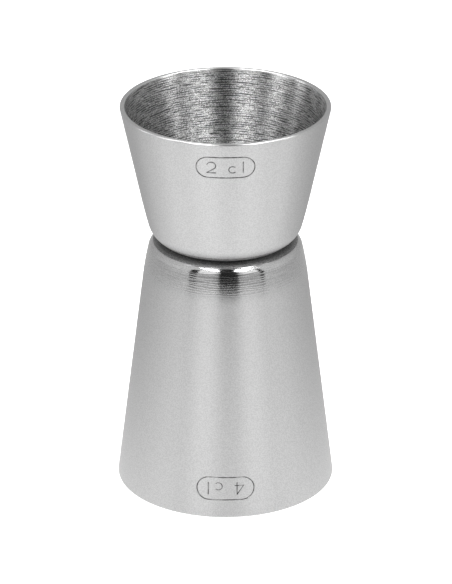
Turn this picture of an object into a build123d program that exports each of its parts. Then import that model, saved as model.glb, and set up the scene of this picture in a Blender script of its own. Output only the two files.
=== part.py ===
"""Double-ended bar jigger: a 2 cl and a 4 cl stainless cup, joined base to base by a spot weld.

The jigger stands on the mouth of its 4 cl cup, with the 2 cl cup open upwards. The origin is the
centre of the circle that it stands on, +Z is the axis of both cups, and the engraved capacity
marks face -Y. Lengths are in millimetres and angles in degrees.

Each cup is one piece of drawn sheet of even thickness. From the middle of its base outwards it has
a flat floor, a rounded corner, a slightly bellied shoulder and a straight cone up to the mouth.
"""

import os
from dataclasses import dataclass
from math import cos, radians, sin, tan
from typing import Callable

from build123d import *

# Sheet and edges
WALL = 0.9  # thickness of the drawn sheet
RIM_ROUND = 0.2  # radius of the polished edges of each mouth

# The 2 cl cup, measured on its outer face
SMALL_MOUTH_RADIUS = 19.4
SMALL_HEIGHT = 26.4
SMALL_CONE_ANGLE = 12.2  # lean of the straight wall from the axis
SMALL_SHOULDER_RADIUS = 107.0
SMALL_SHOULDER_TURN = 2.7  # how far the shoulder turns in before the corner
SMALL_CORNER_RADIUS = 4.6

# The 4 cl cup, measured on its outer face
LARGE_MOUTH_RADIUS = 20.35
LARGE_HEIGHT = 47.85
LARGE_CONE_ANGLE = 7.05
LARGE_SHOULDER_RADIUS = 57.0
LARGE_SHOULDER_TURN = 5.9
LARGE_CORNER_RADIUS = 1.9

# The spot weld that joins the two bases
WELD_DIAMETER = 4.7
WELD_PENETRATION = 0.5  # share of each base's thickness that the weld melts
ELECTRODE_DIAMETER = 6.0  # print of the welding electrode on each floor
ELECTRODE_PRINT = 0.06  # depth of that print

# The engraved capacity marks
MARK_WIDTH = 10.8
MARK_HEIGHT = 4.6
MARK_LINE = 0.2  # width of an engraved line
MARK_DEPTH = 0.1
DIGIT_HEIGHT = 2.3
DIGIT_WIDTH = 1.6
LETTER_C_RADIUS = 0.7  # of the round letter c
DIGIT_PLACE = -2.55  # middles of the three characters, across from the middle of the mark
C_PLACE = 1.3
L_PLACE = 3.2
SMALL_MARK_DROP = 4.9  # from the mouth to the middle of the mark, along the wall
LARGE_MARK_DROP = 5.7

# How far cutting bodies pass the faces that they cut
OVERCUT = 1.0


@dataclass
class Cup:
    """One drawn cup, standing on its base at z = 0 with its mouth up."""

    mouth_radius: float
    height: float
    cone_angle: float
    shoulder_radius: float
    shoulder_turn: float
    corner_radius: float
    mark_drop: float
    figure: Callable

    @property
    def corner_turn(self):
        """Angle that the corner turns through, from the flat base to the foot of the shoulder."""
        return 90 - self.cone_angle - self.shoulder_turn

    @property
    def flat_radius(self):
        """Radius of the flat middle of the base, where the corner begins."""
        cone = radians(self.cone_angle)
        foot = radians(self.cone_angle + self.shoulder_turn)
        corner_run = self.corner_radius * cos(foot)
        corner_rise = self.corner_radius * (1 - sin(foot))
        shoulder_run = self.shoulder_radius * (cos(cone) - cos(foot))
        shoulder_rise = self.shoulder_radius * (sin(foot) - sin(cone))
        cone_run = (self.height - corner_rise - shoulder_rise) * tan(cone)
        return self.mouth_radius - cone_run - shoulder_run - corner_run

    def wall_lines(self, inset, top):
        """Half outline at `inset` inside the outer face, from the axis to the height `top`."""
        flat = Line((0, inset), (self.flat_radius, inset))
        corner = JernArc(flat @ 1, (1, 0), self.corner_radius - inset, self.corner_turn)
        shoulder = JernArc(
            corner @ 1, corner % 1, self.shoulder_radius - inset, self.shoulder_turn
        )
        foot = shoulder @ 1
        lean = tan(radians(self.cone_angle))
        cone = Line(foot, (foot.X + (top - foot.Y) * lean, top))
        return [flat, corner, shoulder, cone]

    def layer(self, outer, inner, top):
        """Solid of revolution between two insets, up to the height `top`."""
        outside = self.wall_lines(outer, top)
        inside = self.wall_lines(inner, top)
        axis = Line(inside[0] @ 0, outside[0] @ 0)
        edge = Line(outside[-1] @ 1, inside[-1] @ 1)
        section = make_face([*outside, edge, *reversed(inside), axis])
        return section, edge

    def shell(self):
        """The drawn sheet with its mouth's two edges rounded."""
        section, edge = self.layer(0, WALL, self.height)
        corners = [
            min(section.vertices(), key=lambda v, p=p: (Vector(v) - p).length)
            for p in (edge @ 0, edge @ 1)
        ]
        return spin(fillet(corners, RIM_ROUND))

    def mark_plane(self):
        """Plane on the outer face at the middle of the mark, its y axis up the wall."""
        lean = radians(self.cone_angle)
        centre_radius = self.mouth_radius - self.mark_drop * sin(lean)
        centre_height = self.height - self.mark_drop * cos(lean)
        return Plane(
            origin=(0, -centre_radius, centre_height),
            x_dir=(1, 0, 0),
            z_dir=(0, -cos(lean), -sin(lean)),
        )

    def mark_cutter(self):
        """The engraving: the mark's lines, as deep into the outer face as MARK_DEPTH."""
        reach = WALL + self.mouth_radius
        lines = extrude(self.mark_plane() * capacity_mark(self.figure), reach, both=True)
        skin, _ = self.layer(-OVERCUT, MARK_DEPTH, self.height + OVERCUT)
        front = Pos(0, -self.mouth_radius, 0) * Box(
            2 * self.mouth_radius, 2 * self.mouth_radius, 4 * self.height
        )
        return lines & spin(skin) & front

    def brimful_ml(self):
        """What the cup holds when it is filled level with its mouth."""
        inside = self.wall_lines(WALL, self.height)
        rim = inside[-1] @ 1
        surface = Line(rim, (0, rim.Y))
        axis = Line((0, rim.Y), inside[0] @ 0)
        return spin(make_face([*inside, surface, axis])).volume / 1000


def spin(section):
    """Turns a section drawn as (radius, height) through a full circle about the Z axis."""
    return revolve(Plane.XZ * section, Axis.Z)


def figure_2():
    """Lines of a 2: an arc over the top, a slanting stroke and a foot."""
    half_width = DIGIT_WIDTH / 2
    top = DIGIT_HEIGHT / 2
    tail_angle = 165  # where the arc starts, at the upper left
    arc_turn = -205  # clockwise over the top, to where the slanting stroke leaves it
    arc = CenterArc((0, top - half_width), half_width, tail_angle, arc_turn)
    heel = (-half_width, -top)
    return [arc, Line(arc @ 1, heel), Line(heel, (half_width, -top))]


def figure_4():
    """Lines of a 4: an upright, a slanting stroke and a bar that crosses the upright."""
    half_width = DIGIT_WIDTH / 2
    top = DIGIT_HEIGHT / 2
    upright = half_width / 2
    bar = -DIGIT_HEIGHT / 4
    return [
        Line((upright, -top), (upright, top)),
        Line((upright, top), (-half_width, bar)),
        Line((-half_width, bar), (half_width, bar)),
    ]


def letter_c():
    """Line of a small c: a ring on the foot line, open to the right."""
    half_gap = 50
    centre = (0, LETTER_C_RADIUS - DIGIT_HEIGHT / 2)
    return [CenterArc(centre, LETTER_C_RADIUS, half_gap, 360 - 2 * half_gap)]


def letter_l():
    """Line of a small l: one upright."""
    top = DIGIT_HEIGHT / 2
    return [Line((0, -top), (0, top))]


def capacity_mark(figure):
    """Flat sketch of a mark: its figure and the unit cl, inside a ring with round ends."""
    inner_width = MARK_WIDTH - 2 * MARK_LINE
    inner_height = MARK_HEIGHT - 2 * MARK_LINE
    ring = SlotOverall(MARK_WIDTH, MARK_HEIGHT) - SlotOverall(inner_width, inner_height)
    faces = list(ring.faces())
    characters = [(figure, DIGIT_PLACE), (letter_c, C_PLACE), (letter_l, L_PLACE)]
    for draw, place in characters:
        for line in draw():
            faces.extend((Pos(place, 0) * trace(line, MARK_LINE)).faces())
    return Sketch() + faces


def cap_radius(rim, depth):
    """Radius of the sphere whose cap is `depth` deep and `rim` in radius at its mouth."""
    return (rim**2 + depth**2) / (2 * depth)


def weld_nugget():
    """The lens of melted and set metal across the joint plane, with its middle at z = 0."""
    half = (WALL - ELECTRODE_PRINT) * WELD_PENETRATION
    ball_radius = cap_radius(WELD_DIAMETER / 2, half)
    centre = ball_radius - half
    return Pos(0, 0, centre) * Sphere(ball_radius) & Pos(0, 0, -centre) * Sphere(ball_radius)


def electrode_print():
    """The shallow round dish that the welding electrode leaves in a cup's floor."""
    tip_radius = cap_radius(ELECTRODE_DIAMETER / 2, ELECTRODE_PRINT)
    return Pos(0, 0, WALL - ELECTRODE_PRINT + tip_radius) * Sphere(tip_radius)


def finished_cup(cup):
    """A cup as it leaves the workshop: engraved, with the weld's pocket and print."""
    dish = electrode_print() & Pos(0, 0, WALL) * Cylinder(ELECTRODE_DIAMETER, WALL)
    return cup.shell() - cup.mark_cutter() - weld_nugget() - dish


def main():
    small = Cup(
        mouth_radius=SMALL_MOUTH_RADIUS,
        height=SMALL_HEIGHT,
        cone_angle=SMALL_CONE_ANGLE,
        shoulder_radius=SMALL_SHOULDER_RADIUS,
        shoulder_turn=SMALL_SHOULDER_TURN,
        corner_radius=SMALL_CORNER_RADIUS,
        mark_drop=SMALL_MARK_DROP,
        figure=figure_2,
    )
    large = Cup(
        mouth_radius=LARGE_MOUTH_RADIUS,
        height=LARGE_HEIGHT,
        cone_angle=LARGE_CONE_ANGLE,
        shoulder_radius=LARGE_SHOULDER_RADIUS,
        shoulder_turn=LARGE_SHOULDER_TURN,
        corner_radius=LARGE_CORNER_RADIUS,
        mark_drop=LARGE_MARK_DROP,
        figure=figure_4,
    )

    on_joint = Pos(0, 0, LARGE_HEIGHT)
    mouth_down = on_joint * Rot(0, 180, 0)
    parts = {
        "small_cup": on_joint * finished_cup(small),
        "large_cup": mouth_down * finished_cup(large),
        "weld_nugget": on_joint * weld_nugget(),
    }

    os.makedirs("parts", exist_ok=True)
    for name, shape in parts.items():
        export_step(shape, f"parts/{name}.step")
        print(name, "solids", len(shape.solids()), "volume", round(shape.volume, 2))
    for name, cup in (("small_cup", small), ("large_cup", large)):
        print(name, "brimful ml", round(cup.brimful_ml(), 2))


main()
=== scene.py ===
"""Looks of a double-ended bar jigger: two drawn stainless steel cups, joined base to base.

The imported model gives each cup's height and the width of its mouth. Each cup is turned here from
one outline as a fine closed mesh, with its capacity mark cut into the wall, and stands for its CAD
node. The weld between the cups keeps its CAD node and gets a material.

An outline runs in (radius, height) from the middle of the cup's outer base, up its outer face, over
the mouth and down its inner face to the middle of its floor. Lengths are in metres.
"""

from dataclasses import dataclass, field
from math import atan2, ceil, cos, hypot, pi, radians, sin, tan

import bpy
import numpy as np
from bpy.props import FloatProperty, FloatVectorProperty, PointerProperty
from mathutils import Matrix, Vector


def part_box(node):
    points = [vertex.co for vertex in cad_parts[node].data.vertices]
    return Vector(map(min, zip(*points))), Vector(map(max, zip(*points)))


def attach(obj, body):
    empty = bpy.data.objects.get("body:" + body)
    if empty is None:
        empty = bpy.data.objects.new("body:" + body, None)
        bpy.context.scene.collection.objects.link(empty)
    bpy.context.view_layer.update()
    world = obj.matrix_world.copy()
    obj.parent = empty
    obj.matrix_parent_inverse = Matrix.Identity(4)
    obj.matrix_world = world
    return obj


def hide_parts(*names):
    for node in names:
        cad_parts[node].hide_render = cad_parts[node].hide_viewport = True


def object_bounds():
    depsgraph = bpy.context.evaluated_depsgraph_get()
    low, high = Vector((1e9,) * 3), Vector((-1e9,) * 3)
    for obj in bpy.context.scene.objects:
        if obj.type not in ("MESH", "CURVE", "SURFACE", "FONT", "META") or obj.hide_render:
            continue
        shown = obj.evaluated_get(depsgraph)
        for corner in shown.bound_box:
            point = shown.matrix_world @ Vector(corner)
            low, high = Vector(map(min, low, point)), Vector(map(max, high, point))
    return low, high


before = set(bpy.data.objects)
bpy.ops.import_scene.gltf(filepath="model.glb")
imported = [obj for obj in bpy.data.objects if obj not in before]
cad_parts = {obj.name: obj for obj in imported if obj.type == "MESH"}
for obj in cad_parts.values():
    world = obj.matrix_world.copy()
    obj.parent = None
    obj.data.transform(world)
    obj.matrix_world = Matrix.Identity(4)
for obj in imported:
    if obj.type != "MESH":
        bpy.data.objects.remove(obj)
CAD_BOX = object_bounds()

bl_info = {
    "name": "Bar Jigger",
    "version": (1, 0, 0),
    "blender": (4, 5, 0),
    "location": "3D View > Sidebar > Jigger",
    "description": "Builds a double-ended stainless steel bar jigger with its finishes and studio",
    "category": "Object",
}

MM = 0.001
BODY = "root"


def linear(hex_colour):
    """Scene-linear red, green and blue of an sRGB hex colour such as #C8C8C6."""
    channels = [int(hex_colour[i : i + 2], 16) / 255 for i in (1, 3, 5)]
    return tuple(c / 12.92 if c <= 0.04045 else ((c + 0.055) / 1.055) ** 2.4 for c in channels)


# --- Settings -------------------------------------------------------------------------------------


class SheetSizes(bpy.types.PropertyGroup):
    """The drawn sheet and the weld that joins the two cups."""

    wall: FloatProperty(
        name="Wall", description="Thickness of the sheet", default=0.9 * MM, unit="LENGTH"
    )
    rim_round: FloatProperty(
        name="Rim round",
        description="Radius of the polished edges of each mouth",
        default=0.2 * MM,
        unit="LENGTH",
    )
    weld_width: FloatProperty(
        name="Weld width",
        description="Width of the lens of melted metal between the bases",
        default=4.7 * MM,
        unit="LENGTH",
    )
    weld_share: FloatProperty(
        name="Weld depth", description="Share of each base that the weld melts", default=0.5
    )
    print_width: FloatProperty(
        name="Electrode print width",
        description="Width of the shallow dish that the welding electrode leaves in each floor",
        default=6.0 * MM,
        unit="LENGTH",
    )
    print_depth: FloatProperty(
        name="Electrode print depth",
        description="Depth of that dish",
        default=0.06 * MM,
        unit="LENGTH",
    )


class SmallCupShape(bpy.types.PropertyGroup):
    """Outer face of the 2 cl cup."""

    lean: FloatProperty(
        name="Lean",
        description="Angle of the straight wall from the axis",
        default=radians(12.2),
        unit="ROTATION",
    )
    shoulder_radius: FloatProperty(
        name="Shoulder radius",
        description="Radius of the slight belly above the corner",
        default=107 * MM,
        unit="LENGTH",
    )
    shoulder_turn: FloatProperty(
        name="Shoulder turn",
        description="Angle that the belly turns through",
        default=radians(2.7),
        unit="ROTATION",
    )
    corner_radius: FloatProperty(
        name="Corner radius",
        description="Radius between the wall and the base",
        default=4.6 * MM,
        unit="LENGTH",
    )
    mark_drop: FloatProperty(
        name="Mark drop",
        description="Distance from the mouth to the middle of the mark, along the wall",
        default=4.9 * MM,
        unit="LENGTH",
    )
    # The unbuffed turn is also darkened with painted shade, where shade falls by the joint.
    unbuffed_and_shaded: FloatProperty(
        name="Unbuffed corner",
        description="Turn of the corner next to the joint that the polishing wheel can't reach",
        default=radians(48),
        unit="ROTATION",
    )
    corner_polish: FloatProperty(
        name="Corner polish", description="How far the corner is polished", default=0.0
    )


class LargeCupShape(bpy.types.PropertyGroup):
    """Outer face of the 4 cl cup."""

    lean: FloatProperty(
        name="Lean",
        description="Angle of the straight wall from the axis",
        default=radians(7.05),
        unit="ROTATION",
    )
    shoulder_radius: FloatProperty(
        name="Shoulder radius",
        description="Radius of the slight belly above the corner",
        default=57 * MM,
        unit="LENGTH",
    )
    shoulder_turn: FloatProperty(
        name="Shoulder turn",
        description="Angle that the belly turns through",
        default=radians(5.9),
        unit="ROTATION",
    )
    corner_radius: FloatProperty(
        name="Corner radius",
        description="Radius between the wall and the base",
        default=1.9 * MM,
        unit="LENGTH",
    )
    mark_drop: FloatProperty(
        name="Mark drop",
        description="Distance from the mouth to the middle of the mark, along the wall",
        default=5.7 * MM,
        unit="LENGTH",
    )
    # The unbuffed turn is also darkened with painted shade, where shade falls by the joint.
    unbuffed_and_shaded: FloatProperty(
        name="Unbuffed corner",
        description="Turn of the corner next to the joint that the polishing wheel can't reach",
        default=radians(30),
        unit="ROTATION",
    )
    corner_polish: FloatProperty(
        name="Corner polish", description="How far the corner is polished", default=1.0
    )


class MarkSizes(bpy.types.PropertyGroup):
    """The engraved capacity marks."""

    width: FloatProperty(
        name="Width", description="Width of the ring", default=10.8 * MM, unit="LENGTH"
    )
    height: FloatProperty(
        name="Height", description="Height of the ring", default=4.6 * MM, unit="LENGTH"
    )
    line: FloatProperty(
        name="Line", description="Width of an engraved line", default=0.2 * MM, unit="LENGTH"
    )
    depth: FloatProperty(
        name="Depth", description="Depth of an engraved line", default=0.1 * MM, unit="LENGTH"
    )
    figure_height: FloatProperty(
        name="Figure height",
        description="Height of the figure and of the letter l",
        default=2.3 * MM,
        unit="LENGTH",
    )
    figure_width: FloatProperty(
        name="Figure width", description="Width of the figure", default=1.6 * MM, unit="LENGTH"
    )
    c_radius: FloatProperty(
        name="Letter c", description="Radius of the letter c", default=0.7 * MM, unit="LENGTH"
    )
    places: FloatVectorProperty(
        name="Places",
        description="Middles of the figure, the c and the l, across from the middle of the mark",
        default=(-2.55 * MM, 1.3 * MM, 3.2 * MM),
        unit="LENGTH",
    )


class Finishes(bpy.types.PropertyGroup):
    """Colours and gloss of the steel."""

    steel: FloatVectorProperty(
        name="Steel",
        description="Colour that the steel gives its reflections",
        default=linear("#D6D6D6"),
        subtype="COLOR",
    )
    fresh_steel: FloatVectorProperty(
        name="Fresh steel",
        description="Colour of the fresh metal on the ridges of the turned lines",
        default=linear("#F4F4F4"),
        subtype="COLOR",
    )
    groove: FloatVectorProperty(
        name="Engraved line",
        description="Colour of the dull metal in an engraved line",
        default=linear("#121212"),
        subtype="COLOR",
    )
    # Darker than the steel: partly the real as-drawn metal, and partly painted shade where shade
    # falls by the joint.
    base: FloatVectorProperty(
        name="As-drawn base",
        description="Colour of the bases, which stay as drawn because no wheel reaches them",
        default=linear("#B0B0B0"),
        subtype="COLOR",
    )
    weld: FloatVectorProperty(
        name="Weld",
        description="Colour of the metal as it set in the joint",
        default=linear("#A0A0A0"),
        subtype="COLOR",
    )
    satin_roughness: FloatProperty(
        name="Satin roughness", description="Roughness of the outer faces", default=0.43
    )
    turned_roughness: FloatProperty(
        name="Turned roughness", description="Roughness of the inner faces", default=0.38
    )
    polished_roughness: FloatProperty(
        name="Polished roughness",
        description="Roughness of the polished rims and shoulder",
        default=0.13,
    )
    base_roughness: FloatProperty(
        name="Base roughness", description="Roughness of the bases as drawn", default=0.55
    )
    groove_roughness: FloatProperty(
        name="Engraved roughness", description="Roughness of an engraved line", default=0.6
    )


class StudioSizes(bpy.types.PropertyGroup):
    """Camera, floor and light."""

    camera_distance: FloatProperty(
        name="Camera distance",
        description="Distance from the camera to the middle of the jigger",
        default=751 * MM,
        unit="LENGTH",
    )
    camera_elevation: FloatProperty(
        name="Camera elevation",
        description="Angle by which the camera looks down",
        default=radians(24.37),
        unit="ROTATION",
    )
    lens: FloatProperty(name="Lens", description="Focal length in millimetres", default=248.4)
    floor_colour: FloatVectorProperty(
        name="Floor",
        description="Colour of the matt white table top",
        default=linear("#F4F4F4"),
        subtype="COLOR",
    )
    surround: FloatProperty(
        name="Surround", description="Brightness of the pale tent all round", default=0.75
    )


class JiggerSettings(bpy.types.PropertyGroup):
    """Everything that a user would change."""

    sheet: PointerProperty(type=SheetSizes)
    small_cup: PointerProperty(type=SmallCupShape)
    large_cup: PointerProperty(type=LargeCupShape)
    mark: PointerProperty(type=MarkSizes)
    finishes: PointerProperty(type=Finishes)
    studio: PointerProperty(type=StudioSizes)


# --- Shape of a cup -------------------------------------------------------------------------------

FINE_STEP = 0.062 * MM  # mesh spacing in the mark, under a third of an engraved line
COARSE_STEP = 0.8 * MM  # mesh spacing along the outline away from the mark
COARSE_TURN = radians(2)  # mesh spacing round the cup away from the mark
GROWTH = 1.3  # each step from the mark outwards is this much longer than the last
MARK_MARGIN = 0.2 * MM  # fine mesh beyond the mark's ring

# Steps of the mesh in each stretch of the outline
WELD_STEPS = 6
BASE_STEPS = 12
UNBUFFED_SHADED_STEPS = 12
CORNER_STEPS = 20
SHOULDER_STEPS = 16
RIM_STEPS = 10
LIP_STEPS = 3
INNER_SHOULDER_STEPS = 12
FLOOR_STEPS = 12
PRINT_STEPS = 8

RIM_POLISH = 0.5  # polish of each mouth's rounded edges and of the lip between them
POLISH_HOLD = 1.6  # above 1, polish fades late on its way along an arc


def graded_places(start, end, band, fine, coarse):
    """Places from start to end: even fine steps in the band, growing to coarse ones beyond."""
    low, high = band
    count = ceil((high - low) / fine)
    inside = list(np.linspace(low, high, count + 1))

    def outwards(place, limit, way):
        places = []
        step = fine
        while True:
            step = min(step * GROWTH, coarse)
            place += way * step
            if way * (limit - place) < step / 2:
                return places + [limit]
            places.append(place)

    return outwards(low, start, -1)[::-1] + inside + outwards(high, end, 1)


@dataclass
class Outline:
    """Points of a half outline in order, each with what its ring of the mesh needs to know."""

    points: list = field(default_factory=list)
    polish: list = field(default_factory=list)
    dull_and_shaded: list = field(default_factory=list)
    marks: dict = field(default_factory=dict)

    def note(self, name):
        """Remembers where the outline has come to, under a name."""
        self.marks[name] = len(self.points) - 1

    def add(self, points, polish=0.0, dull_and_shaded=0.0):
        """Adds points, the same share of polish and of dullness with painted shade at each of them.
        """
        self.points.extend(points)
        self.polish.extend([polish] * len(points))
        self.dull_and_shaded.extend([dull_and_shaded] * len(points))

    def arc(self, centre, radius, start, end, count, polish=(0.0, 0.0), dull_and_shaded=0.0):
        """Adds an arc's points after its first. Its polish goes from one value to the other."""
        for i in range(1, count + 1):
            share = i / count
            angle = start + (end - start) * share
            point = (centre[0] + radius * cos(angle), centre[1] + radius * sin(angle))
            self.add([point], polish[0] + (polish[1] - polish[0]) * share**POLISH_HOLD, dull_and_shaded)

    def run(self, end, places=None, count=1, polish=0.0, dull_and_shaded=0.0):
        """Adds a straight run to `end`, in even steps or at the given shares of the way."""
        start = self.points[-1]
        shares = places if places is not None else [i / count for i in range(1, count + 1)]
        points = [tuple(a + (b - a) * t for a, b in zip(start, end)) for t in shares]
        self.add(points, polish, dull_and_shaded)

    def travel(self):
        """Distance of each point from the first, along the outline."""
        steps = np.hypot(*np.diff(np.array(self.points), axis=0).T)
        return np.concatenate([[0], np.cumsum(steps)])


def cap_radius(rim, depth):
    """Radius of the sphere whose cap is `depth` deep and `rim` in radius at its mouth."""
    return (rim**2 + depth**2) / (2 * depth)


def cup_outline(shape, sheet, mark, mouth_radius, height):
    """Outline of a cup that stands on its base, and how far its cone would run to a sharp mouth."""
    wall, rim = sheet.wall, sheet.rim_round
    lean = shape.lean
    foot = lean + shape.shoulder_turn
    across, up = cos(lean), sin(lean)

    corner_run = shape.corner_radius * cos(foot)
    corner_rise = shape.corner_radius * (1 - sin(foot))
    shoulder_run = shape.shoulder_radius * (across - cos(foot))
    shoulder_rise = shape.shoulder_radius * (sin(foot) - up)
    cone_foot = corner_rise + shoulder_rise
    flat_radius = mouth_radius - (height - cone_foot) * tan(lean) - shoulder_run - corner_run

    corner_centre = (flat_radius, shape.corner_radius)
    shoulder_centre = (
        flat_radius + corner_run - shape.shoulder_radius * cos(foot),
        corner_rise + shape.shoulder_radius * sin(foot),
    )
    rim_height = height - rim
    outer_rim = (mouth_radius - rim * tan(lean) - rim / across, rim_height)
    inner_rim = (mouth_radius - (wall - rim) / across - rim * tan(lean), rim_height)

    weld_radius = sheet.weld_width / 2
    weld_depth = (wall - sheet.print_depth) * sheet.weld_share
    pocket = cap_radius(weld_radius, weld_depth)
    pocket_centre = (0, weld_depth - pocket)
    print_radius = sheet.print_width / 2
    dish = cap_radius(print_radius, sheet.print_depth)
    dish_centre = (0, wall - sheet.print_depth + dish)

    line = Outline()
    line.add([(0.0, weld_depth)])
    edge = atan2(-pocket_centre[1], weld_radius)
    line.arc(pocket_centre, pocket, pi / 2, edge, WELD_STEPS)
    # The base and the unbuffed turn of the corner are dull, and darkened with painted shade by the
    # joint.
    line.run((flat_radius, 0.0), count=BASE_STEPS, dull_and_shaded=1.0)
    buffed_from = -pi / 2 + shape.unbuffed_and_shaded
    line.arc(corner_centre, shape.corner_radius, -pi / 2, buffed_from, UNBUFFED_SHADED_STEPS, dull_and_shaded=1.0)
    even = (shape.corner_polish, shape.corner_polish)
    line.arc(corner_centre, shape.corner_radius, buffed_from, -foot, CORNER_STEPS, even)
    fading = (shape.corner_polish, 0.0)
    line.arc(shoulder_centre, shape.shoulder_radius, -foot, -lean, SHOULDER_STEPS, fading)
    line.note("cone_foot")

    foot_point = line.points[-1]
    cone_end = (outer_rim[0] + rim * across, outer_rim[1] - rim * up)
    length = hypot(cone_end[0] - foot_point[0], cone_end[1] - foot_point[1])
    to_mouth = hypot(mouth_radius - foot_point[0], height - foot_point[1])
    half_band = mark.height / 2 + MARK_MARGIN
    middle = to_mouth - shape.mark_drop
    band = (middle - half_band, middle + half_band)
    places = graded_places(0.0, length, band, FINE_STEP, COARSE_STEP)[1:]
    line.run(cone_end, places=[p / length for p in places])
    line.note("rim_outside")
    even = (RIM_POLISH, RIM_POLISH)
    line.arc(outer_rim, rim, -lean, pi / 2, RIM_STEPS, even)
    line.run((inner_rim[0], height), count=LIP_STEPS, polish=RIM_POLISH)
    line.arc(inner_rim, rim, pi / 2, pi - lean, RIM_STEPS, even)
    line.note("rim_inside")

    inner_shoulder = shape.shoulder_radius - wall
    inner_corner = shape.corner_radius - wall
    cone_start = (
        shoulder_centre[0] + inner_shoulder * across,
        shoulder_centre[1] - inner_shoulder * up,
    )
    drop = line.points[-1][1] - cone_start[1]
    line.run(cone_start, count=ceil(drop / COARSE_STEP))
    line.arc(shoulder_centre, inner_shoulder, -lean, -foot, INNER_SHOULDER_STEPS)
    line.arc(corner_centre, inner_corner, -foot, -pi / 2, CORNER_STEPS)
    line.run((print_radius, wall), count=FLOOR_STEPS)
    rise = atan2(wall - dish_centre[1], print_radius)
    line.arc(dish_centre, dish, rise, -pi / 2, PRINT_STEPS)
    return line, to_mouth


# --- Engraved marks -------------------------------------------------------------------------------

STROKE_STEP = radians(12)  # turn between the points of a stroke's arc
GROOVE_BOTTOM = 0.15  # half width of a groove's flat bottom, in line widths
GROOVE_LIP = 0.58  # half width of a groove at the wall, in line widths


def bow(centre, radius, start, turn):
    """Points of an arc, from the angle `start` through `turn`."""
    count = ceil(abs(turn) / STROKE_STEP)
    angles = [start + turn * i / count for i in range(count + 1)]
    return [(centre[0] + radius * cos(a), centre[1] + radius * sin(a)) for a in angles]


def figure_2(mark):
    """Stroke of a 2: an arc over the top, a slanting stroke and a foot."""
    half_width = mark.figure_width / 2
    top = mark.figure_height / 2
    tail_angle = radians(165)  # where the arc starts, at the upper left
    arc_turn = radians(-205)  # clockwise over the top, to where the slanting stroke leaves it
    arc = bow((0, top - half_width), half_width, tail_angle, arc_turn)
    return [arc + [(-half_width, -top), (half_width, -top)]]


def figure_4(mark):
    """Stroke of a 4: up its upright, down the slant and along the bar."""
    half_width = mark.figure_width / 2
    top = mark.figure_height / 2
    upright = half_width / 2
    bar = -mark.figure_height / 4
    return [[(upright, -top), (upright, top), (-half_width, bar), (half_width, bar)]]


def letter_c(mark):
    """Stroke of a small c: a ring on the foot line, open to the right."""
    half_gap = radians(50)
    centre = (0, mark.c_radius - mark.figure_height / 2)
    return [bow(centre, mark.c_radius, half_gap, 2 * pi - 2 * half_gap)]


def letter_l(mark):
    """Stroke of a small l: one upright."""
    top = mark.figure_height / 2
    return [[(0, -top), (0, top)]]


def mark_ring(mark):
    """Stroke of the ring with round ends, along the middle of its line."""
    radius = (mark.height - mark.line) / 2
    reach = (mark.width - mark.line) / 2 - radius
    right = bow((reach, 0), radius, -pi / 2, pi)
    left = bow((-reach, 0), radius, pi / 2, pi)
    return [right + left + right[:1]]


def mark_strokes(mark, figure):
    """All strokes of a mark: its ring, its figure and the unit cl."""
    strokes = mark_ring(mark)
    for draw, place in zip((figure, letter_c, letter_l), mark.places):
        strokes += [[(x + place, y) for x, y in stroke] for stroke in draw(mark)]
    return strokes


def stroke_distance(across, up, strokes):
    """Distance of each place on the wall from the nearest stroke."""
    nearest = np.full(across.shape, np.inf)
    for stroke in strokes:
        for (ax, ay), (bx, by) in zip(stroke, stroke[1:]):
            dx, dy = bx - ax, by - ay
            share = ((across - ax) * dx + (up - ay) * dy) / (dx * dx + dy * dy)
            share = np.clip(share, 0, 1)
            gap = np.hypot(across - ax - share * dx, up - ay - share * dy)
            nearest = np.minimum(nearest, gap)
    return nearest


def groove_share(distance, line):
    """How deep a place is in a groove, from 0 on the wall to 1 on the groove's flat bottom."""
    bottom, lip = line * GROOVE_BOTTOM, line * GROOVE_LIP
    t = np.clip((lip - distance) / (lip - bottom), 0, 1)
    return t * t * (3 - 2 * t)


# --- Mesh of a cup --------------------------------------------------------------------------------


def mesh_turns(outline, shape, mark):
    """Turns round the axis, from -pi up to pi and measured from -Y, close together at the mark."""
    mouth_radius = max(radius for radius, _ in outline.points)
    mark_radius = mouth_radius - shape.mark_drop * sin(shape.lean)
    half_turn = np.arcsin((mark.width / 2 + MARK_MARGIN) / mark_radius)
    fine_turn = FINE_STEP / mark_radius
    turns = graded_places(-pi, pi, (-half_turn, half_turn), fine_turn, COARSE_TURN)
    return np.array(turns[:-1])


def mark_cut(outline, turns, to_mouth, shape, mark, figure):
    """How deep each place of the mesh is in the mark's grooves, from 0 to 1, ring by ring."""
    rings = np.array(outline.points)[1:-1]
    travel = outline.travel()
    foot, rim = outline.marks["cone_foot"], outline.marks["rim_outside"]
    across = rings[:, :1] * np.sin(turns)
    from_middle = travel[1:-1] - travel[foot] - (to_mouth - shape.mark_drop)
    up = np.repeat(from_middle[:, None], len(turns), 1)
    cut = groove_share(stroke_distance(across, up, mark_strokes(mark, figure)), mark.line)
    on_wall = np.zeros(len(rings), bool)
    on_wall[foot : rim - 1] = True
    return cut * (on_wall[:, None] & (np.abs(turns) < pi / 2))


def lathe_faces(ring_count, count):
    """Faces of a closed turned mesh: a fan at each pole, and quads from ring to ring."""
    here = np.arange(count)
    after = (here + 1) % count
    base = (np.arange(ring_count - 1) * count)[:, None]
    quads = np.stack([base + here, base + after, base + count + after, base + count + here], -1)
    first_pole, last_pole = ring_count * count, ring_count * count + 1
    last_ring = (ring_count - 1) * count
    bottom = [(first_pole, b, a) for a, b in zip(here, after)]
    top = [(last_ring + a, last_ring + b, last_pole) for a, b in zip(here, after)]
    return bottom + quads.reshape(-1, 4).tolist() + top


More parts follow.
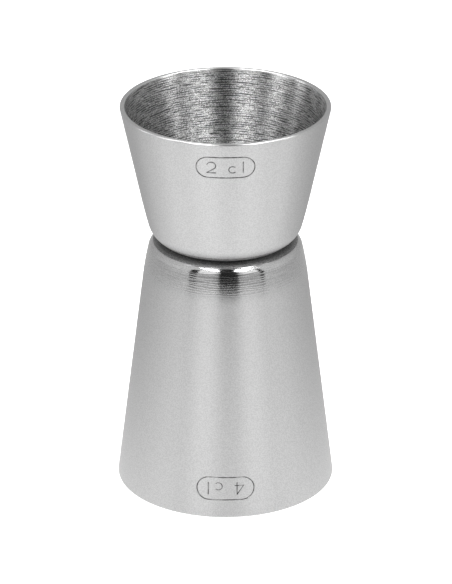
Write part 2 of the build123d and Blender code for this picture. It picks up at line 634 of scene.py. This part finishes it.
def cup_mesh(name, outline, to_mouth, shape, mark, figure):
    """Turns an outline into a closed mesh that faces its mark to -Y, with the mark cut in."""
    rings = np.array(outline.points)[1:-1]
    turns = mesh_turns(outline, shape, mark)
    travel = outline.travel()
    cut = mark_cut(outline, turns, to_mouth, shape, mark, figure)
    radius = rings[:, :1] - cut * mark.depth * cos(shape.lean)
    height = rings[:, 1:] + cut * mark.depth * sin(shape.lean)
    body = np.stack([radius * np.sin(turns), -radius * np.cos(turns), height], -1)
    poles = [(0, 0, outline.points[0][1]), (0, 0, outline.points[-1][1])]
    vertices = np.concatenate([body.reshape(-1, 3), poles])

    count = len(turns)
    faces = lathe_faces(len(rings), count)
    mesh = bpy.data.meshes.new(name)
    mesh.from_pydata(vertices.tolist(), [], faces)
    mesh.shade_smooth()

    turning = np.zeros((len(vertices), 3))
    turning[:-2, 0] = np.tile(np.sin(turns), len(rings))
    turning[:-2, 1] = np.tile(-np.cos(turns), len(rings))
    turning[:-2, 2] = np.repeat(travel[1:-1], count)
    turning[-2:, 2] = travel[0], travel[-1]
    store(mesh, "turning", "FLOAT_VECTOR", "vector", turning)
    store(mesh, "engraved", "FLOAT", "value", np.append(cut.ravel(), [0, 0]))
    polish = np.append(np.repeat(outline.polish[1:-1], count), [0, 0])
    store(mesh, "polish", "FLOAT", "value", polish)
    # Dullness and painted shade on each ring, and at the pole in the middle of the base.
    dull_and_shaded = np.append(np.repeat(outline.dull_and_shaded[1:-1], count), [1, 0])
    store(mesh, "dull_and_shaded", "FLOAT", "value", dull_and_shaded)

    unwrap(mesh, turns, travel, count)
    finish = np.zeros(len(faces), np.int32)
    finish[outline.marks["rim_inside"] * count :] = 1  # from there on, the inner finish
    mesh.polygons.foreach_set("material_index", finish)
    return mesh


def store(mesh, name, kind, key, values):
    """Keeps one value for each vertex under a name that the materials read."""
    layer = mesh.attributes.new(name, kind, "POINT")
    layer.data.foreach_set(key, np.asarray(values, np.float32).ravel())


def unwrap(mesh, turns, travel, count):
    """Unrolls the cup: once round it is across the map, and along its outline is up the map."""
    margin = 0.01  # empty share of the map along each edge
    turn_share = np.append((turns + pi) / (2 * pi), 1.0)
    way_share = travel / travel[-1]
    loops = np.empty(len(mesh.loops), np.int32)
    mesh.loops.foreach_get("vertex_index", loops)
    starts = np.empty(len(mesh.polygons), np.int32)
    mesh.polygons.foreach_get("loop_start", starts)
    sizes = np.diff(np.append(starts, len(loops)))
    face = np.repeat(np.arange(len(starts)), sizes)
    column = face % count
    pole = loops >= len(mesh.vertices) - 2
    place = np.where(pole, column, loops % count)
    wraps = (column == count - 1) & (place == 0)
    u = np.where(wraps, 1.0, turn_share[place])
    ring = np.where(pole, np.where(loops == len(mesh.vertices) - 2, 0, len(travel) - 1), 0)
    ring = np.where(pole, ring, loops // count + 1)
    uv = np.stack([u, way_share[ring]], -1) * (1 - 2 * margin) + margin
    layer = mesh.uv_layers.new(name="OFBake")
    layer.data.foreach_set("uv", uv.astype(np.float32).ravel())


# --- Materials ------------------------------------------------------------------------------------

MIX_FACTOR, MIX_A, MIX_B, MIX_RESULT = 0, 6, 7, 2  # sockets of a Mix node that mixes colours
MEAN_RADIUS = 17 * MM  # of the walls, which turns a line's length into an angle
SATIN_PULL = 0.75  # how far the satin's fine marks pull reflections out along the wall
TURNED_PULL = 1.0  # how far the turned lines pull them out
PULL_TURN = 0.25  # share of a full turn from the lines to the way that they pull

BREAK_HEIGHT = 2.0  # height of the lines that wander together, in line spacings
WANDER = 1.5  # how far the lines wander, in line spacings
STRETCH = (2.0 * MM, 0.42 * MM)  # length and height of a stretch of strong lines
STRETCH_EDGES = (0.36, 0.58)  # noise at which a stretch begins and at which it is full
LINE_EDGES = (0.2, 0.8)  # height at which the metal between the lines turns into a line
GRAIN_EDGES = (0.44, 0.55)  # noise at which the metal between the grains turns into a grain
PAINTED_JOINT_SHADE = 0.5  # how much darker the dull metal is between its grains: painted shade by the joint
WEAR_PATCH = 1.2 * MM  # size of the patches where an engraved line is worn
WEAR_EDGES = (0.42, 0.56)
WORN_LINE = 0.5  # how much of its darkness an engraved line keeps where it is worn

WELD_GRAIN = 0.3 * MM
WELD_GRAIN_DEPTH = 0.01 * MM
WELD_ROUGHNESS = (0.45, 0.65)


def add_node(tree, kind, settings=None, inputs=None, output=None):
    """Adds a node with its settings, and gives each input a value or the socket that feeds it.
    Gives back the node, or the output that is asked for."""
    made = tree.nodes.new(kind)
    for name, value in (settings or {}).items():
        setattr(made, name, value)
    for name, value in (inputs or {}).items():
        if isinstance(value, bpy.types.NodeSocket):
            tree.links.new(value, made.inputs[name])
        else:
            made.inputs[name].default_value = value
    return made if output is None else made.outputs[output]


MAP = "ShaderNodeMapRange"


def blend(share, low, high, start=0.0, end=1.0):
    """What a MAP node is given to go from low to high as share goes from start to end."""
    return {"Value": share, "From Min": start, "From Max": end, "To Min": low, "To Max": high}


def new_material(name):
    """An empty node material and its tree."""
    material = bpy.data.materials.new(name)
    material.use_nodes = True
    material.node_tree.nodes.clear()
    return material, material.node_tree


def drawn_out_noise(tree, place, length, height):
    """Noise drawn out round the axis, with patches of that length and height in metres."""
    scale = (MEAN_RADIUS / length, MEAN_RADIUS / length, 1 / height)
    scaled = add_node(
        tree, "ShaderNodeVectorMath", {"operation": "MULTIPLY"}, {0: place, 1: scale}, "Vector"
    )
    inputs = {"Vector": scaled, "Scale": 1.0, "Detail": 1.0}
    return add_node(tree, "ShaderNodeTexNoise", inputs=inputs, output="Fac")


def turned_lines(tree, place, length, pitch):
    """Height, from 0 to 1, of lines round the axis that keep level over about that length."""
    wander = drawn_out_noise(tree, place, length, BREAK_HEIGHT * pitch)
    along = add_node(tree, "ShaderNodeSeparateXYZ", inputs={"Vector": place}, output="Z")
    factors = {0: wander, 1: 2 * pi * WANDER}
    shift = add_node(tree, "ShaderNodeMath", {"operation": "MULTIPLY"}, factors, "Value")
    terms = {0: along, 1: 2 * pi / pitch, 2: shift}
    turn = add_node(tree, "ShaderNodeMath", {"operation": "MULTIPLY_ADD"}, terms, "Value")
    wave = add_node(tree, "ShaderNodeMath", {"operation": "SINE"}, {0: turn}, "Value")
    return add_node(tree, MAP, inputs=blend(wave, 0.0, 1.0, -1.0, 1.0), output="Result")


def grain_noise(tree, size):
    """Even noise with grains of that size in metres."""
    place = add_node(tree, "ShaderNodeTexCoord", output="Object")
    inputs = {"Vector": place, "Scale": 1 / size, "Detail": 2.0}
    return add_node(tree, "ShaderNodeTexNoise", inputs=inputs, output="Fac")


@dataclass
class Texture:
    """Brush lines and grain of a steel face. Each pair is for its plain and its polished metal."""

    line_length: float  # over which a line keeps level
    line_pitch: float
    line_depth: tuple
    line_shade: tuple  # how much darker the metal is between the lines
    grain_size: float
    grain_depth: tuple
    grain_shade: tuple  # how much darker the metal is between the grains


def line_light(tree, texture, place, lines, polish):
    """How light the lines leave the metal: 1 on a line, and less between strong lines."""
    shades = blend(polish, *(1 - shade for shade in texture.line_shade))
    darkest = add_node(tree, MAP, inputs=shades, output="Result")
    patches = blend(drawn_out_noise(tree, place, *STRETCH), 0.0, 1.0, *STRETCH_EDGES)
    strong = add_node(tree, MAP, inputs=patches, output="Result")
    between = add_node(tree, MAP, inputs=blend(strong, 1.0, darkest), output="Result")
    return add_node(tree, MAP, inputs=blend(lines, between, 1.0, *LINE_EDGES), output="Result")


def grain_light(tree, texture, grains, polish, dull_and_shaded):
    """How light the grains leave the metal: 1 on a grain, and less between them, and less again on
    the dull metal as painted shade by the joint.
    """
    shades = blend(polish, *(1 - shade for shade in texture.grain_shade))
    clean = add_node(tree, MAP, inputs=shades, output="Result")
    between = add_node(tree, MAP, inputs=blend(dull_and_shaded, clean, 1 - PAINTED_JOINT_SHADE), output="Result")
    return add_node(tree, MAP, inputs=blend(grains, between, 1.0, *GRAIN_EDGES), output="Result")


def brushed_normal(tree, texture, lines, grains, polish):
    """The way that the face looks, tilted by its grains and its lines."""
    depth = add_node(tree, MAP, inputs=blend(polish, *texture.grain_depth), output="Result")
    inputs = {"Height": grains, "Distance": depth}
    normal = add_node(tree, "ShaderNodeBump", inputs=inputs, output="Normal")
    depth = add_node(tree, MAP, inputs=blend(polish, *texture.line_depth), output="Result")
    inputs = {"Height": lines, "Distance": depth, "Normal": normal}
    return add_node(tree, "ShaderNodeBump", inputs=inputs, output="Normal")


def stainless(name, finishes, steel, roughness, pull, texture):
    """Stainless steel with brush lines round its axis, polished or dull where the mesh says so; the
    dull metal is also darkened with painted shade.
    """
    material, tree = new_material(name)
    place, polish, engraved, dull_and_shaded = (
        add_node(tree, "ShaderNodeAttribute", {"attribute_name": layer}, output=output)
        for layer, output in (
            ("turning", "Vector"),
            ("polish", "Fac"),
            ("engraved", "Fac"),
            ("dull_and_shaded", "Fac"),
        )
    )
    grains = grain_noise(tree, texture.grain_size)
    lines = turned_lines(tree, place, texture.line_length, texture.line_pitch)
    # On the dull metal the colour goes towards the darker base colour: real as-drawn metal, and
    # painted shade by the joint.
    colours = {MIX_FACTOR: dull_and_shaded, MIX_A: (*steel, 1), MIX_B: (*finishes.base, 1)}
    metal = add_node(tree, "ShaderNodeMix", {"data_type": "RGBA"}, colours, MIX_RESULT)
    factors = {
        0: line_light(tree, texture, place, lines, polish),
        1: grain_light(tree, texture, grains, polish, dull_and_shaded),
    }
    light = add_node(tree, "ShaderNodeMath", {"operation": "MULTIPLY"}, factors, "Value")
    factors = {0: metal, "Scale": light}
    shaded = add_node(tree, "ShaderNodeVectorMath", {"operation": "SCALE"}, factors, "Vector")
    wear = blend(grain_noise(tree, WEAR_PATCH), WORN_LINE, 1.0, *WEAR_EDGES)
    factors = {0: engraved, 1: add_node(tree, MAP, inputs=wear, output="Result")}
    darkened = add_node(tree, "ShaderNodeMath", {"operation": "MULTIPLY"}, factors, "Value")
    colours = {MIX_FACTOR: darkened, MIX_A: shaded, MIX_B: (*finishes.groove, 1)}
    colour = add_node(tree, "ShaderNodeMix", {"data_type": "RGBA"}, colours, MIX_RESULT)

    gloss = roughness
    for share, there in (
        (polish, finishes.polished_roughness),
        (dull_and_shaded, finishes.base_roughness),
        (engraved, finishes.groove_roughness),
    ):
        gloss = add_node(tree, MAP, inputs=blend(share, gloss, there), output="Result")
    round_axis = {"direction_type": "RADIAL", "axis": "Z"}
    shader = add_node(
        tree,
        "ShaderNodeBsdfPrincipled",
        inputs={
            "Base Color": colour,
            "Metallic": 1.0,
            "Roughness": gloss,
            "Normal": brushed_normal(tree, texture, lines, grains, polish),
            "Anisotropic": pull,
            "Anisotropic Rotation": PULL_TURN,
            "Tangent": add_node(tree, "ShaderNodeTangent", round_axis, output="Tangent"),
        },
        output="BSDF",
    )
    add_node(tree, "ShaderNodeOutputMaterial", inputs={"Surface": shader})
    return material


def satin_stainless(finishes):
    """Stainless steel rubbed round with a fine abrasive pad: soft, even and slightly grainy, with
    brush lines in its reflections only where it is polished at the shoulder."""
    # The pad's own marks, about 0.05 mm apart, are too fine to show, so they are drawn coarser.
    texture = Texture(
        line_length=5.5 * MM,
        line_pitch=0.44 * MM,
        line_depth=(0.001 * MM, 0.011 * MM),
        line_shade=(0.0, 0.06),
        grain_size=0.2 * MM,
        grain_depth=(0.006 * MM, 0.002 * MM),
        grain_shade=(0.14, 0.14),
    )
    name, rough = "Satin stainless steel", finishes.satin_roughness
    return stainless(name, finishes, finishes.steel, rough, SATIN_PULL, texture)


def turned_stainless(finishes):
    """Stainless steel turned against coarse grit: dark and bright lines round the cup, which draw
    every reflection out along the wall."""
    # The grit's own lines, about 0.2 mm apart, are too fine to show, so they are drawn coarser.
    texture = Texture(
        line_length=6.0 * MM,
        line_pitch=0.42 * MM,
        line_depth=(0.004 * MM, 0.002 * MM),
        line_shade=(0.78, 0.3),
        grain_size=0.15 * MM,
        grain_depth=(0.003 * MM, 0.001 * MM),
        grain_shade=(0.74, 0.2),
    )
    name, rough = "Turned stainless steel", finishes.turned_roughness
    return stainless(name, finishes, finishes.fresh_steel, rough, TURNED_PULL, texture)


def weld_steel(finishes):
    """Stainless steel melted and set in the joint: grey, dull and grainy."""
    material, tree = new_material("Welded stainless steel")
    grain = grain_noise(tree, WELD_GRAIN)
    inputs = {"Height": grain, "Distance": WELD_GRAIN_DEPTH}
    shader = add_node(
        tree,
        "ShaderNodeBsdfPrincipled",
        inputs={
            "Base Color": (*finishes.weld, 1),
            "Metallic": 1.0,
            "Roughness": add_node(tree, MAP, inputs=blend(grain, *WELD_ROUGHNESS), output="Result"),
            "Normal": add_node(tree, "ShaderNodeBump", inputs=inputs, output="Normal"),
        },
        output="BSDF",
    )
    add_node(tree, "ShaderNodeOutputMaterial", inputs={"Surface": shader})
    return material


made_materials = {}


def finish_material(make, finishes):
    """The material that `make` makes, made once and then shared by both cups."""
    key = make.__name__
    if key not in made_materials:
        made_materials[key] = make(finishes)
    return made_materials[key]


# --- Stage ----------------------------------------------------------------------------------------

# Angles on the stage run from -Y, where the camera stands, towards +X.
GAP = (radians(-9), radians(18))  # what the black cloths take up, in front and overhead

TABLE_RADIUS = 4.0
TABLE_ROUGHNESS = 0.6
TABLE_GLOW = 0.5  # the light that comes up through the table top
# The table's glow in the steel's reflections is painted light and shade: bright before the jigger
# and dimmer all round.
GLOW_MIDDLE = (0, -0.13, 0)  # the table's brightest place in the steel's reflections
GLOW_SPREAD = (0.04, 0.23)  # distances from there between which the brightness falls
GLOW_BRIGHTNESS = (1.5, 0.52)  # at those distances

TENT_BEHIND = 0.48  # brightness of the tent behind the jigger
TENT_TURN = (-0.2, 0.8)  # Y of the directions between which the tent gets that dim

STRIP_HEIGHT = 1.2
STRIP_FRONT, STRIP_BACK = -0.68, 0.6  # ends of a strip light
STRIPS = {"strip_left": (-0.47, -0.165), "strip_right": (0.225, 0.545)}  # side edges
STRIP_BRIGHTNESS = 8.5

CARD_DISTANCE = 1.3
CARD_HEIGHT = 1.25
CARD_TURN = radians(3)  # turn of one face of a bent card
CARD_ROUGHNESS = 0.9
BLACK_CARDS = {
    "card_left_edge": (radians(-53), radians(-42)),
    "card_middle": GAP,
    "card_right_edge": (radians(51), radians(57)),
}
LIT_CARDS = {
    "panel_left": (radians(-42), GAP[0]),
    "panel_right": (GAP[1], radians(51)),
}
CLOTH_BRIGHTNESS = (0.26, 1.8)  # at the foot and at the head of a lit card
CLOTH_EDGE = 0.35  # share of its brightness that a lit card has beside the gap
CLOTH_FADE = 0.22  # width over which it comes up to the whole
RUNNER_START = 0.17  # where the black cloth on the table begins, in front of the jigger

SIDE_LIGHTS = {
    "side_left": (radians(-57), radians(-76)),
    "side_right": (radians(63), radians(77)),
    "side_back": (radians(-91), radians(-102)),
}
SIDE_BRIGHTNESS = 2.0

CAMERA_SHIFT = (0.0009, -0.0031)
CAMERA_CLIP = 0.05


def at_turn(distance, turn, height):
    """A place on the stage at that distance and turn."""
    return (distance * sin(turn), -distance * cos(turn), height)


def table_white(studio):
    """White acrylic table top lit from below, matt: it stays white with hardly a shadow. From
    below it is clear, so that it hides nothing."""
    material, tree = new_material("Matt white acrylic")
    shader = add_node(
        tree,
        "ShaderNodeBsdfPrincipled",
        inputs={
            "Base Color": (*studio.floor_colour, 1),
            "Roughness": TABLE_ROUGHNESS,
            "Emission Color": (*studio.floor_colour, 1),
            "Emission Strength": TABLE_GLOW,
        },
        output="BSDF",
    )
    below = add_node(tree, "ShaderNodeNewGeometry", output="Backfacing")
    clear = add_node(tree, "ShaderNodeBsdfTransparent", output="BSDF")
    sides = {0: below, 1: shader, 2: clear}
    seen = add_node(tree, "ShaderNodeMixShader", inputs=sides, output="Shader")
    add_node(tree, "ShaderNodeOutputMaterial", inputs={"Surface": seen})
    return material


def glowing(name, strength_of):
    """A material that only gives light, as strong at each place as `strength_of` works out."""
    material, tree = new_material(name)
    place = add_node(tree, "ShaderNodeNewGeometry", output="Position")
    inputs = {"Strength": strength_of(tree, place)}
    glow = add_node(tree, "ShaderNodeEmission", inputs=inputs, output="Emission")
    add_node(tree, "ShaderNodeOutputMaterial", inputs={"Surface": glow})
    return material


def table_strength(tree, place):
    """Painted light of the table top as the steel sees it: bright before it, and falling off all
    round, for how the table is lit and shaded.
    """
    ends = {0: place, 1: GLOW_MIDDLE}
    gap = add_node(tree, "ShaderNodeVectorMath", {"operation": "DISTANCE"}, ends, "Value")
    falling = blend(gap, *GLOW_BRIGHTNESS, *GLOW_SPREAD)
    return add_node(tree, MAP, inputs=falling, output="Result")


def cloth_strength(tree, place):
    """Light of a lit card: it grows from the foot up, and fades beside the gap."""
    parts = add_node(tree, "ShaderNodeSeparateXYZ", inputs={"Vector": place})
    rising = blend(parts.outputs["Z"], *CLOTH_BRIGHTNESS, 0.0, CARD_HEIGHT)
    rising = add_node(tree, MAP, inputs=rising, output="Result")
    middle = CARD_DISTANCE * sin(sum(GAP) / 2)
    edge = CARD_DISTANCE * sin((GAP[1] - GAP[0]) / 2)
    across = {0: parts.outputs["X"], 1: middle}
    off = add_node(tree, "ShaderNodeMath", {"operation": "SUBTRACT"}, across, "Value")
    off = add_node(tree, "ShaderNodeMath", {"operation": "ABSOLUTE"}, {0: off}, "Value")
    fade = blend(off, CLOTH_EDGE, 1.0, edge, edge + CLOTH_FADE)
    factors = {0: rising, 1: add_node(tree, MAP, inputs=fade, output="Result")}
    return add_node(tree, "ShaderNodeMath", {"operation": "MULTIPLY"}, factors, "Value")


def black_cloth():
    """Black velvet on the cards that keep light off: it reflects next to nothing."""
    material, tree = new_material("Black velvet")
    shader = add_node(
        tree,
        "ShaderNodeBsdfPrincipled",
        inputs={"Base Color": (*linear("#101010"), 1), "Roughness": CARD_ROUGHNESS},
        output="BSDF",
    )
    add_node(tree, "ShaderNodeOutputMaterial", inputs={"Surface": shader})
    return material


def stage_piece(name, mesh, material):
    """A stage piece, hidden from the camera."""
    mesh.materials.append(material)
    piece = bpy.data.objects.new(name, mesh)
    piece.visible_camera = False
    bpy.context.scene.collection.objects.link(piece)
    return piece


def flat_mesh(name, corners):
    """One flat face from its corners in order."""
    mesh = bpy.data.meshes.new(name)
    mesh.from_pydata([tuple(c) for c in corners], [], [tuple(range(len(corners)))])
    return mesh


def round_corners(radius, height):
    """Corners of a round table."""
    count = 96
    turns = [2 * pi * i / count for i in range(count)]
    return [(radius * cos(a), radius * sin(a), height) for a in turns]


def table_top(studio):
    """A round table top under the jigger, and its twin that only the steel's reflections show,
    which glows with painted light and shade.
    """
    corners = round_corners(TABLE_RADIUS, CAD_BOX[0].z)
    top = stage_piece("table_top", flat_mesh("table_top", corners), table_white(studio))
    top.visible_camera = True
    top.visible_glossy = False
    painted_table_light = glowing("Painted table light", table_strength)
    glow = stage_piece("table_glow", flat_mesh("table_glow", corners), painted_table_light)
    glow.visible_shadow = False
    glow.visible_diffuse = False
    glow.visible_transmission = False


def surround(scene, studio):
    """A pale tent all round and above, dimmer behind, and plain white to the camera."""
    world = bpy.data.worlds.new("Pale tent")
    world.use_nodes = True
    tree = world.node_tree
    tree.nodes.clear()
    white = (*linear("#FFFFFF"), 1)
    way = add_node(tree, "ShaderNodeTexCoord", output="Generated")
    behind = add_node(tree, "ShaderNodeSeparateXYZ", inputs={"Vector": way}, output="Y")
    dimming = blend(behind, studio.surround, TENT_BEHIND, *TENT_TURN)
    strength = add_node(tree, MAP, inputs=dimming, output="Result")
    inputs = {"Color": white, "Strength": strength}
    tent = add_node(tree, "ShaderNodeBackground", inputs=inputs, output="Background")
    inputs = {"Color": white, "Strength": 1.0}
    plain = add_node(tree, "ShaderNodeBackground", inputs=inputs, output="Background")
    to_camera = add_node(tree, "ShaderNodeLightPath", output="Is Camera Ray")
    rays = {0: to_camera, 1: tent, 2: plain}
    seen = add_node(tree, "ShaderNodeMixShader", inputs=rays, output="Shader")
    add_node(tree, "ShaderNodeOutputWorld", inputs={"Surface": seen})
    scene.world = world


def area_light(name, width, length, brightness):
    """An oblong area light of that size and brightness, which the camera doesn't see."""
    light = bpy.data.lights.new(name, "AREA")
    light.shape = "RECTANGLE"
    light.size = width
    light.size_y = length
    light.energy = brightness * pi * light.size * light.size_y  # the same brightness at any size
    made = bpy.data.objects.new(name, light)
    made.visible_camera = False
    bpy.context.scene.collection.objects.link(made)
    return made


def strip_lights():
    """Two soft strip lights overhead, one each side, with a gap between them."""
    for name, (start, end) in STRIPS.items():
        strip = area_light(name, end - start, STRIP_BACK - STRIP_FRONT, STRIP_BRIGHTNESS)
        strip.location = ((start + end) / 2, (STRIP_FRONT + STRIP_BACK) / 2, STRIP_HEIGHT)


def side_lights():
    """Upright lights at the sides, for the bands inside the small cup. They light nothing else."""
    receivers = bpy.data.collections.new("side_light_receivers")
    receivers.objects.link(bpy.data.objects["small_cup_steel"])
    for name, (start, end) in SIDE_LIGHTS.items():
        turn = (start + end) / 2
        width = 2 * CARD_DISTANCE * tan(abs(end - start) / 2)
        made = area_light(name, width, CARD_HEIGHT, SIDE_BRIGHTNESS)
        made.location = at_turn(CARD_DISTANCE, turn, CARD_HEIGHT / 2)
        made.rotation_euler = (pi / 2, 0, turn)
        made.light_linking.receiver_collection = receivers


def bent_card(name, start, end):
    """An upright card bent round the jigger, between two turns."""
    count = ceil((end - start) / CARD_TURN)
    vertices = []
    for i in range(count + 1):
        turn = start + (end - start) * i / count
        vertices += [at_turn(CARD_DISTANCE, turn, height) for height in (0.0, CARD_HEIGHT)]
    faces = [(2 * i, 2 * i + 2, 2 * i + 3, 2 * i + 1) for i in range(count)]
    mesh = bpy.data.meshes.new(name)
    mesh.from_pydata(vertices, [], faces)
    return mesh


def cards():
    """Upright cards round the front, black and lit in turn, and black cloths above and in front."""
    black = black_cloth()
    lit = glowing("Lit white cloth", cloth_strength)
    for places, cloth in ((BLACK_CARDS, black), (LIT_CARDS, lit)):
        for name, (start, end) in places.items():
            stage_piece(name, bent_card(name, start, end), cloth)

    overhead = [at_turn(CARD_DISTANCE, turn, CARD_HEIGHT) for turn in GAP]
    overhead.append((STRIPS["strip_right"][0], STRIP_BACK, CARD_HEIGHT))
    overhead.append((STRIPS["strip_left"][1], STRIP_BACK, CARD_HEIGHT))
    stage_piece("card_overhead", flat_mesh("card_overhead", overhead), black)

    lie = CAD_BOX[0].z + MM
    near = [at_turn(RUNNER_START, turn, lie) for turn in GAP]
    far = [at_turn(CARD_DISTANCE, turn, lie) for turn in reversed(GAP)]
    runner = stage_piece("card_runner", flat_mesh("card_runner", near + far), black)
    runner.visible_shadow = False
    runner.visible_diffuse = False


def camera(scene, studio):
    """The camera in front of the jigger, looking down at its middle."""
    middle = sum(CAD_BOX, Vector()) / 2
    lens = bpy.data.cameras.new("camera")
    lens.lens = studio.lens
    lens.shift_x, lens.shift_y = CAMERA_SHIFT
    lens.clip_start = CAMERA_CLIP
    made = bpy.data.objects.new("camera", lens)
    elevation, distance = studio.camera_elevation, studio.camera_distance
    made.location = middle + distance * Vector((0, -cos(elevation), sin(elevation)))
    made.rotation_euler = (pi / 2 - elevation, 0, 0)
    scene.collection.objects.link(made)
    scene.camera = made


# --- Operators ------------------------------------------------------------------------------------


def outer_radius(node, shape, rim):
    """Radius of the mouth's outer edge before it is rounded, from the CAD node's box."""
    low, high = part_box(node)
    return (high.x - low.x) / 2 + rim * (tan(shape.lean) + 1 / cos(shape.lean) - 1)


def build_cup(settings, node, shape, figure, mouth_down):
    """Makes one cup in place of its CAD node."""
    low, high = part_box(node)
    sheet, mark = settings.sheet, settings.mark
    radius = outer_radius(node, shape, sheet.rim_round)
    outline, to_mouth = cup_outline(shape, sheet, mark, radius, high.z - low.z)
    mesh = cup_mesh(node + "_steel", outline, to_mouth, shape, mark, figure)
    joint = high.z if mouth_down else low.z
    sides = (-1, 1, -1) if mouth_down else (1, 1, 1)  # half a turn about Y, or none
    for vertex in mesh.vertices:
        x, y, z = (a * b for a, b in zip(vertex.co, sides))
        vertex.co = (x, y, z + joint)
    for make in (satin_stainless, turned_stainless):
        mesh.materials.append(finish_material(make, settings.finishes))
    cup = bpy.data.objects.new(node + "_steel", mesh)
    bpy.context.scene.collection.objects.link(cup)
    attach(cup, BODY)
    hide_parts(node)


class JIGGER_OT_small_cup(bpy.types.Operator):
    """Makes the 2 cl cup, mouth up"""

    bl_idname = "jigger.small_cup"
    bl_label = "Small cup"

    def execute(self, context):
        settings = context.scene.jigger
        build_cup(settings, "small_cup", settings.small_cup, figure_2, mouth_down=False)
        return {"FINISHED"}


class JIGGER_OT_large_cup(bpy.types.Operator):
    """Makes the 4 cl cup, mouth down, with its polished shoulder"""

    bl_idname = "jigger.large_cup"
    bl_label = "Large cup"

    def execute(self, context):
        settings = context.scene.jigger
        build_cup(settings, "large_cup", settings.large_cup, figure_4, mouth_down=True)
        return {"FINISHED"}


class JIGGER_OT_weld_nugget(bpy.types.Operator):
    """Gives the weld between the two bases its material"""

    bl_idname = "jigger.weld_nugget"
    bl_label = "Weld"

    def execute(self, context):
        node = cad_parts["weld_nugget"]
        node.data.materials.clear()
        node.data.materials.append(weld_steel(context.scene.jigger.finishes))
        return {"FINISHED"}


class JIGGER_OT_studio(bpy.types.Operator):
    """Makes the table top, the tent, the lights, the cards round the front and the camera"""

    bl_idname = "jigger.studio"
    bl_label = "Studio"

    def execute(self, context):
        studio = context.scene.jigger.studio
        table_top(studio)
        surround(context.scene, studio)
        strip_lights()
        side_lights()
        cards()
        camera(context.scene, studio)
        context.scene.view_settings.view_transform = "Standard"
        return {"FINISHED"}


class JIGGER_PT_panel(bpy.types.Panel):
    """Sizes and finishes of the jigger, and a button for each step"""

    bl_label = "Bar jigger"
    bl_idname = "JIGGER_PT_panel"
    bl_space_type = "VIEW_3D"
    bl_region_type = "UI"
    bl_category = "Jigger"

    def draw(self, context):
        settings = context.scene.jigger
        for group in (
            settings.sheet,
            settings.small_cup,
            settings.large_cup,
            settings.mark,
            settings.finishes,
            settings.studio,
        ):
            box = self.layout.box()
            for name in group.__annotations__:
                box.prop(group, name)
        for step in STEPS:
            self.layout.operator(step.bl_idname)


STEPS = (JIGGER_OT_small_cup, JIGGER_OT_large_cup, JIGGER_OT_weld_nugget, JIGGER_OT_studio)
CLASSES = (
    SheetSizes,
    SmallCupShape,
    LargeCupShape,
    MarkSizes,
    Finishes,
    StudioSizes,
    JiggerSettings,
    *STEPS,
    JIGGER_PT_panel,
)


def register():
    for each in CLASSES:
        bpy.utils.register_class(each)
    bpy.types.Scene.jigger = PointerProperty(type=JiggerSettings)


def unregister():
    del bpy.types.Scene.jigger
    for each in reversed(CLASSES):
        bpy.utils.unregister_class(each)


def main():
    register()
    bpy.ops.jigger.small_cup()
    bpy.ops.jigger.large_cup()
    bpy.ops.jigger.weld_nugget()
    bpy.ops.jigger.studio()


if __name__ == "__main__":
    main()
